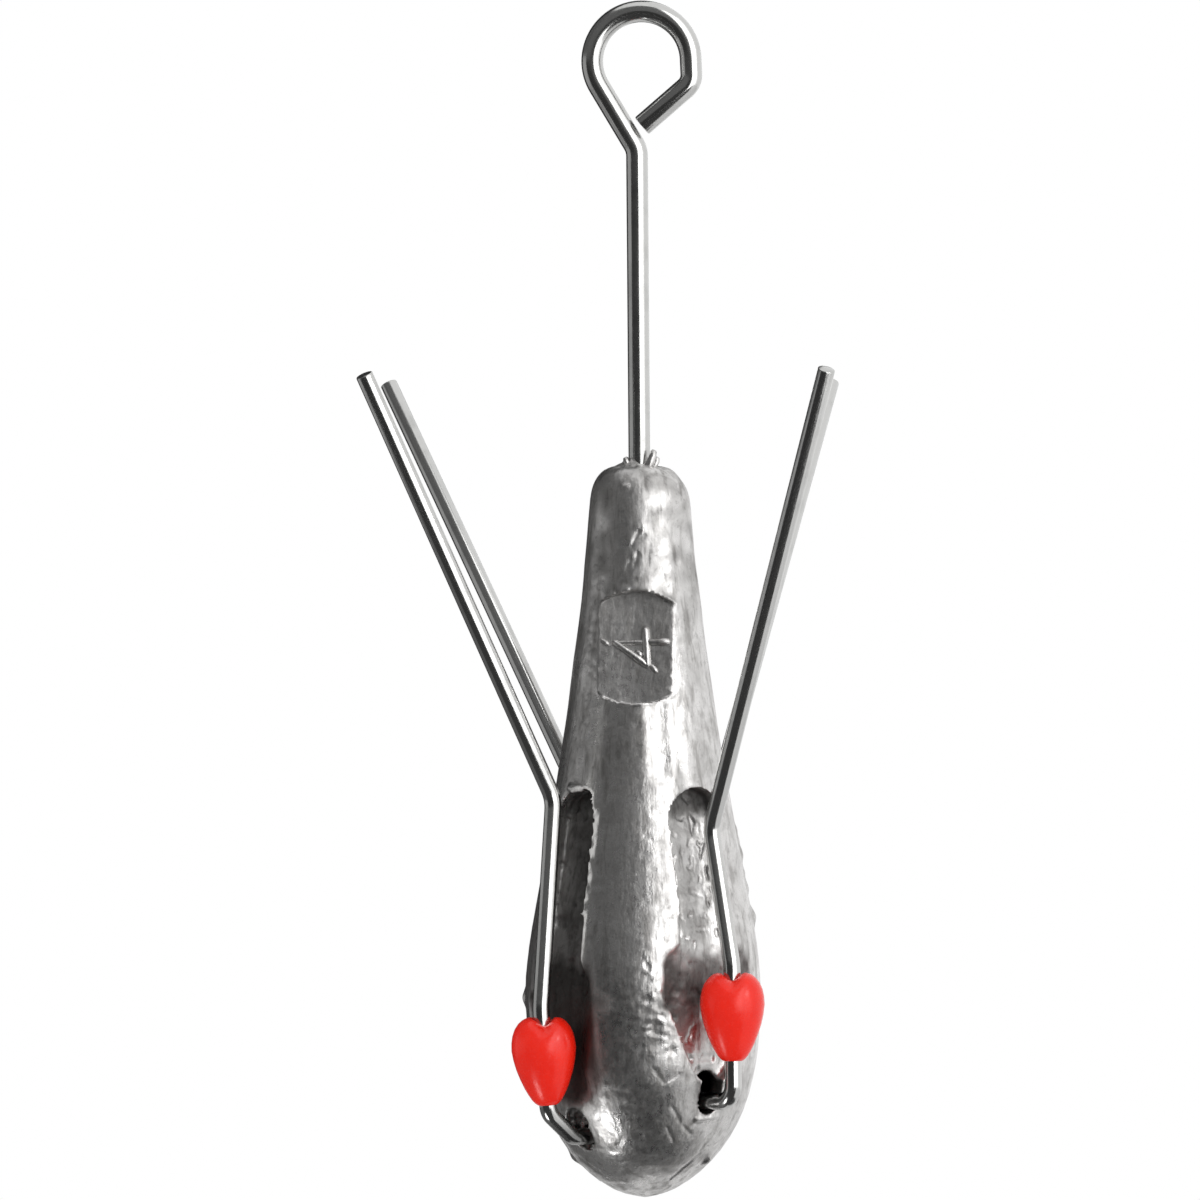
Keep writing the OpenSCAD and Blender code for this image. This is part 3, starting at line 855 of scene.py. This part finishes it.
def bendTail():
    tail = tailWire
    steps = tail["eyeSteps"]
    first = tangentAngle(tail["corner"], tail["eyeRadius"], 1)
    last = tangentAngle(tail["shankBend"], tail["eyeRadius"], -1) + 2 * math.pi
    loop = []
    for index in range(steps + 1):
        angle = first + (last - first) * index / steps
        loop.append(upright(math.cos(angle), math.sin(angle)) * tail["eyeRadius"])
    hookX = axisX + tail["hookWidth"]
    hookZ = topZ - tail["hookDrop"]
    start = bendPath([upright(*tail["cutEnd"]), upright(*tail["corner"]), loop[0]], [tail["cornerRadius"]])
    rest = bendPath(
        [loop[-1], upright(*tail["shankBend"]), upright(axisX, hookZ), upright(hookX, hookZ),
         upright(hookX, hookZ + tail["hookHeight"])],
        [tail["shankRadius"], tail["cornerRadius"], tail["cornerRadius"]])
    wire = drawWire("tailWire", start + loop[1:-1] + rest, tail["diameter"], wireMaterial)
    finishPiece(wire, "weight", "wire", "tail_wire")


gripWire = {
    "diameter": 1.5 * mm,
    "armRadius": 3.0 * mm, "kneeRadius": 4.0 * mm, "footRadius": 1.5 * mm,
    # tip, arm bend, knee, ankle if any, and foot of each leg: azimuth, radius and height above the nose
    "frontLeft": [
        (-49, 28.8, 71.66), (-45, 9.9, 34.96), (-40, 12.4, 16.86), (-40, 11.6, 7.86), (-40, 8.7, 5.66)],
    "backRight": [
        (149, 28.8, 71.66), (139, 9.4, 35.76), (150, 12.4, 16.86), (150, 11.6, 7.86), (150, 8.7, 5.66)],
    "frontRight": [(39.4, 28.8, 71.66), (45, 9.4, 32.36), (45, 12.1, 20.56), (45, 12.15, 8.76)],
    "backLeft": [(-123.4, 28.8, 71.66), (-135, 9.3, 36.06), (-135, 12.1, 20.56), (-135, 12.15, 8.76)],
    # painted shade on the wire inside the holes: its radius and fade, highest point above the nose,
    # and how much on each grip
    "wireShadeReach": (10.8 * mm, -1 * mm), "wireShadeHigh": 11 * mm,
    "wireShade": {"lower_grip": 0.6, "upper_grip": 0.95},
}


def bendGrip(name, node, body, firstLeg, secondLeg):
    grip = gripWire
    halves = []
    for leg in (firstLeg, secondLeg):
        halves.append([fromNose(azimuth, radius * mm, rise * mm) for azimuth, radius, rise in grip[leg]])
    feet = [grip["footRadius"]] * (len(halves[0]) - 3)
    radii = [grip["armRadius"], grip["kneeRadius"]] + feet
    path = bendPath(halves[0] + halves[1][::-1], radii + radii[::-1])
    wire = drawWire(name, path, grip["diameter"], wireMaterial)
    co = readPlaces(wire.data)
    radius = np.hypot(co[:, 0] - axisX, co[:, 1])
    # painted shade on the wire inside the cross holes
    inside = slope(radius, *grip["wireShadeReach"]) * (co[:, 2] < noseZ + grip["wireShadeHigh"])
    addAttribute(wire.data, "wireShade", inside * grip["wireShade"][body])
    finishPiece(wire, body, "wire", node)


bendTail()
bendGrip("lowerGripWire", "grip_wire_lower", "lower_grip", "frontLeft", "backRight")
bendGrip("upperGripWire", "grip_wire_upper", "upper_grip", "frontRight", "backLeft")
print("three wires bent")


numeral = {
    "length": 4.45 * mm,
    "width": 0.66 * mm,
    "lift": 0.08 * mm,
    "wander": 0.12 * mm, "bends": [(0.35, 1), (0.7, -0.5)],      # how far along, and how much it wanders
    "endShare": 0.7,
    # raised strokes: start and end across and up the pad, as shares of the length, and how thick
    "strokeShares": [
        ((0.2, 0.125), (0.61, 0.13), 1), ((-0.39, 0.11), (0.2, 0.125), 0.62),
        ((-0.39, 0.11), (0.216, -0.32), 1), ((0.235, -0.325), (0.196, 0.363), 1.05),
        ((-0.63, 0.15), (-0.57, 0.11), 0.7), ((0.34, -0.37), (0.39, -0.43), 0.7),
        ((0.06, -0.09), (0.09, -0.12), 0.9)],
    "swell": (0.15, 0.6, 0.95, 0.9, 1.05, 1, 0.65, 0.15),        # from end to end of a stroke
}


def raiseNumeral():
    strokes = []
    base = pad["middle"] + pad["out"] * (numeral["lift"] - pad["sink"])
    for number, (start, end, thick) in enumerate(numeral["strokeShares"]):
        a, b = [base + (Vector((1, 0, 0)) * x + pad["up"] * y) * numeral["length"] for x, y in (start, end)]
        along = (b - a).normalized() * numeral["width"] / 2
        aside = [noise.noise(Vector((number, kind, 0))) for kind in (1, 2)]
        wander = upright(*aside) * numeral["wander"]
        bends = [a.lerp(b, share) + wander * much for share, much in numeral["bends"]]
        inner = along * numeral["endShare"]
        path = [a - along, a - inner, a, *bends, b, b + inner, b + along]
        widths = [thick * share for share in numeral["swell"]]
        strokes.append(drawWire("stroke" + str(number), path, numeral["width"], leadMaterial, widths))
    joinPieces("weightNumeral", strokes)


burr = {
    "footRadius": 1.05 * mm, "footDepth": 0.5 * mm,
    "bow": 0.15 * mm, "bends": (0.35, 0.7), "tip": 0.06,
    "taper": [1.4, 1.2, 1.05, 0.9, 0.5],
    # thin burrs where the lead was poured round the stem: azimuth, lean to the right, height and thickness
    "spikes": [
        (36, 0.8, 1.35, 0.62), (62, 0.75, 0.75, 0.5), (-35, -0.55, 0.75, 0.5), (-120, -0.3, 0.6, 0.5),
        (160, 0.3, 0.6, 0.5)],
}


def raiseBurrs():
    spikes = []
    for number, (azimuth, lean, height, thick) in enumerate(burr["spikes"]):
        foot = Vector((axisX, 0, topZ - burr["footDepth"])) + bearing(azimuth) * burr["footRadius"]
        top = foot + upright(lean * mm, height * mm + burr["footDepth"])
        bow = bearing(azimuth) * burr["bow"]
        bends = [foot.lerp(top, share) + bow for share in burr["bends"]]
        path = [foot, *bends, top.lerp(foot, burr["tip"]), top]
        spikes.append(drawWire("burr" + str(number), path, thick * mm, leadMaterial, burr["taper"]))
    joinPieces("castingBurrs", spikes)


def joinPieces(name, parts):
    bm = bmesh.new()
    for part in parts:
        bm.from_mesh(part.data)
        bpy.data.objects.remove(part)
    obj = objectFrom(name, bm)
    coat(obj.data, leadMaterial)
    finishPiece(obj, "weight", "lead")


raiseNumeral()
raiseBurrs()
print("numeral and burrs raised")


bead = {
    "diameter": 5.6 * mm,
    "length": 7.7 * mm,
    "bore": 1.6 * mm,
    # outline from the narrow end up: height and radius as shares, with the dimple last
    "outlineShares": [
        (0, 0.29), (0.005, 0.32), (0.025, 0.39), (0.06, 0.47), (0.12, 0.57), (0.2, 0.68), (0.3, 0.79),
        (0.41, 0.89), (0.52, 0.96), (0.63, 1), (0.72, 0.985), (0.8, 0.94), (0.87, 0.86), (0.93, 0.74),
        (0.97, 0.6), (0.995, 0.45), (1, 0.36), (0.99, 0.3)],
    "steps": 48,
    # the moulded notch across the wide end, nearly from front to back, and where it fades out
    "notchDepth": 0.75 * mm, "notchWidth": 0.75 * mm, "notchAcross": (1, 0.1, 0), "notchShares": (0.22, 0.45),
}


def turnBead(name, node, body, joint):
    bm = bmesh.new()
    bore = bead["bore"] / 2
    outline = [(h * bead["length"], r * bead["diameter"] / 2) for h, r in bead["outlineShares"]]
    outline = [(0, bore)] + outline + [(outline[-1][0], bore)]
    points = [bm.verts.new((max(r, bore), 0, h - bead["length"] / 2)) for h, r in outline]
    edges = [bm.edges.new(pair) for pair in zip(points, points[1:] + points[:1])]
    bmesh.ops.spin(bm, geom=points + edges, cent=(0, 0, 0), axis=(0, 0, 1), angle=2 * math.pi,
                   steps=bead["steps"], use_merge=True)
    bmesh.ops.remove_doubles(bm, verts=bm.verts, dist=0.001 * mm)
    bmesh.ops.recalc_face_normals(bm, faces=bm.faces)
    axis, place = Vector(joint["axis"]), Vector(joint["pos_m"])
    turn = Vector((0, 0, 1)).rotation_difference(axis).to_matrix()
    across = (turn.inverted() @ Vector(bead["notchAcross"])).normalized()
    low, high = [share * bead["length"] for share in bead["notchShares"]]
    for vertex in bm.verts:
        side = vertex.co.dot(across) / bead["notchWidth"]
        vertex.co.z -= bead["notchDepth"] * math.exp(-side * side) * ramp(vertex.co.z, low, high)
    bmesh.ops.transform(bm, matrix=Matrix.Translation(place) @ turn.to_4x4(), verts=bm.verts)
    obj = objectFrom(name, bm)
    coat(obj.data, beadMaterial)
    finishPiece(obj, body, "bead", node)


for corner in ("front_left", "front_right", "back_left", "back_right"):
    first, second = corner.split("_")
    body = "bead_" + first[0] + second[0]
    turnBead(first + second.title() + "Bead", "bead_" + corner, body, joints[body + "_spin"])
print("four beads turned")


studio = {
    "floorDrop": 74 * mm, "floorRadius": 0.38,
    "floorLook": {"Base_Color": (0.85, 0.85, 0.85, 1), "Roughness": 0.8},
    "worldDiffuse": 0.84,          # how bright the white world is on what it lights, seen or mirrored it is 1
    # azimuth, elevation, distance, size and light of the lamp
    "fill": (50, 12, 0.65, (0.5, 0.4), 1.1),
    # cards that only show in gloss: azimuths, elevations and how light
    "cards": [
        (-180, -118, -60, 60, 0.04), (-118, -64, -60, 12, 0.42), (-118, -64, 12, 60, 0.12),
        (-64, 19, -60, 8, 0.04), (-64, 19, 8, 60, 0.145), (21, 40, -60, 55, 2.8), (40, 74, -60, 55, 1.8)],
    "cardDistance": 0.9,
    # a small one in front of them, for the shine on the beads
    "shine": (57, 63, 16, 24, 16.0), "shineDistance": 0.8,
    # the same just above the floor: azimuths, inner and outer radius and how light
    "floorCards": [
        (-64, 46, 0.004, 0.37, 0.05), (-150, -64, 0.004, 0.37, 0.14), (46, 130, 0.004, 0.07, 0.07)],
    "floorGap": 3 * mm,
    # a light seen as a glint on the nose: where it shows, which way it lies, how far and how large
    "glintAzimuth": -20.5, "glintRadius": 8.15 * mm, "glintRise": 7.0 * mm,
    "glintWay": (-56, -47.5), "glintDistance": 42 * mm, "glintSize": (10.5 * mm, 21 * mm), "glintLight": 6.0,
}
middle = Vector((axisX, 0, (noseZ + topZ) / 2))


def layFloor():
    bm = bmesh.new()
    bmesh.ops.create_circle(bm, cap_ends=True, radius=studio["floorRadius"], segments=96)
    bmesh.ops.translate(bm, verts=bm.verts, vec=(0, 0, noseZ - studio["floorDrop"]))
    floor = objectFrom("floor", bm)
    floor.data.materials.append(Paint("paleFloor").shade(**studio["floorLook"]))


# a white world that is a little dimmer as a light than it looks
def lightWorld():
    world = bpy.data.worlds.new("studio")
    bpy.context.scene.world = world
    world.use_nodes = True
    tree = world.node_tree
    rays = tree.nodes.new("ShaderNodeLightPath")
    seen = rays.outputs["Is Camera Ray"]
    for kind in ("Is Glossy Ray", "Is Transmission Ray"):
        either = tree.nodes.new("ShaderNodeMath")
        either.operation = "MAXIMUM"
        tree.links.new(seen, either.inputs[0])
        tree.links.new(rays.outputs[kind], either.inputs[1])
        seen = either.outputs[0]
    level = tree.nodes.new("ShaderNodeMapRange")
    level.inputs["To Min"].default_value = studio["worldDiffuse"]
    level.inputs["To Max"].default_value = 1.0
    tree.links.new(seen, level.inputs["Value"])
    background = tree.nodes["Background"]
    background.inputs["Color"].default_value = (1, 1, 1, 1)
    tree.links.new(level.outputs["Result"], background.inputs["Strength"])


def glow(obj, light):
    paint = Paint(obj.name + "Glow")
    paint.shade(Base_Color=(0, 0, 0, 1), Specular_IOR_Level=0.0)
    paint.shade(Emission_Color=(1, 1, 1, 1), Emission_Strength=light)
    obj.data.materials.append(paint.material)
    obj.visible_camera = obj.visible_diffuse = obj.visible_shadow = obj.visible_transmission = False


# a card swept round the object from a line between two points, each a radius and a height
def sweepCard(name, start, end, fromAzimuth, toAzimuth, light):
    bm = bmesh.new()
    way = bearing(fromAzimuth)
    ends = [bm.verts.new(way * radius + Vector((0, 0, height))) for radius, height in (start, end)]
    edge = bm.edges.new(ends)
    bmesh.ops.spin(bm, geom=ends + [edge], cent=(0, 0, 0), axis=(0, 0, 1),
                   angle=math.radians(toAzimuth - fromAzimuth), steps=24)
    bmesh.ops.translate(bm, verts=bm.verts, vec=middle)
    glow(objectFrom(name, bm), light)


def hangCard(name, distance, fromAzimuth, toAzimuth, low, high, light):
    heights = [distance * math.tan(math.radians(elevation)) for elevation in (low, high)]
    sweepCard(name, (distance, heights[0]), (distance, heights[1]), fromAzimuth, toAzimuth, light)


def hangCards():
    for number, card in enumerate(studio["cards"]):
        hangCard("card" + str(number), studio["cardDistance"], *card)
    hangCard("shine", studio["shineDistance"], *studio["shine"])
    level = noseZ - studio["floorDrop"] + studio["floorGap"] - middle.z
    for number, (fromAzimuth, toAzimuth, inner, outer, light) in enumerate(studio["floorCards"]):
        sweepCard("floorCard" + str(number), (inner, level), (outer, level), fromAzimuth, toAzimuth, light)


def hangGlint():
    bm = bmesh.new()
    bmesh.ops.create_circle(bm, cap_ends=True, radius=0.5, segments=32)
    way = bearing(*studio["glintWay"])
    width, height = studio["glintSize"]
    place = fromNose(studio["glintAzimuth"], studio["glintRadius"], studio["glintRise"])
    place += way * studio["glintDistance"]
    aim = way.to_track_quat("Z", "Y").to_matrix().to_4x4()
    bmesh.ops.scale(bm, verts=bm.verts, vec=(width, height, 1))
    bmesh.ops.transform(bm, matrix=Matrix.Translation(place) @ aim, verts=bm.verts)
    glow(objectFrom("glint", bm), studio["glintLight"])


# light is how bright the lamp looks, 1 as white paper
def hangLamp(name, azimuth, elevation, distance, size, light):
    lamp = bpy.data.lights.new(name, "AREA")
    lamp.shape = "RECTANGLE"
    lamp.size, lamp.size_y = size
    lamp.energy = light * math.pi * size[0] * size[1]
    obj = linkObject(name, lamp)
    away = bearing(azimuth, elevation)
    obj.location = middle + away * distance
    obj.rotation_euler = away.to_track_quat("Z", "Y").to_euler()
    obj.visible_camera = obj.visible_glossy = False


camera = {
    "azimuth": 6, "distance": 0.85, "roll": -0.45,
    "sensor": 36, "frameHeight": 104.8 * mm,
    "clipStart": 0.01,
    "eyeAcross": 3.98 * mm, "eyeAbove": 47.06 * mm,    # the eye from the picture's middle
}


def placeCamera():
    data = bpy.data.cameras.new("camera")
    data.sensor_width = camera["sensor"]
    data.lens = camera["sensor"] * camera["distance"] / camera["frameHeight"]
    data.clip_start = camera["clipStart"]
    obj = linkObject("camera", data)
    away = bearing(camera["azimuth"])
    across = bearing(camera["azimuth"] + 90)
    target = -across * camera["eyeAcross"] - Vector((0, 0, camera["eyeAbove"]))
    aim = away.to_track_quat("Z", "Y").to_matrix().to_4x4()
    roll = Matrix.Rotation(math.radians(camera["roll"]), 4, "Z")
    obj.matrix_world = Matrix.Translation(target + away * camera["distance"]) @ aim @ roll
    bpy.context.scene.camera = obj


layFloor()
lightWorld()
hangCards()
hangGlint()
hangLamp("fillLamp", *studio["fill"])
placeCamera()
bpy.context.scene.view_settings.view_transform = "Standard"
print("studio set")
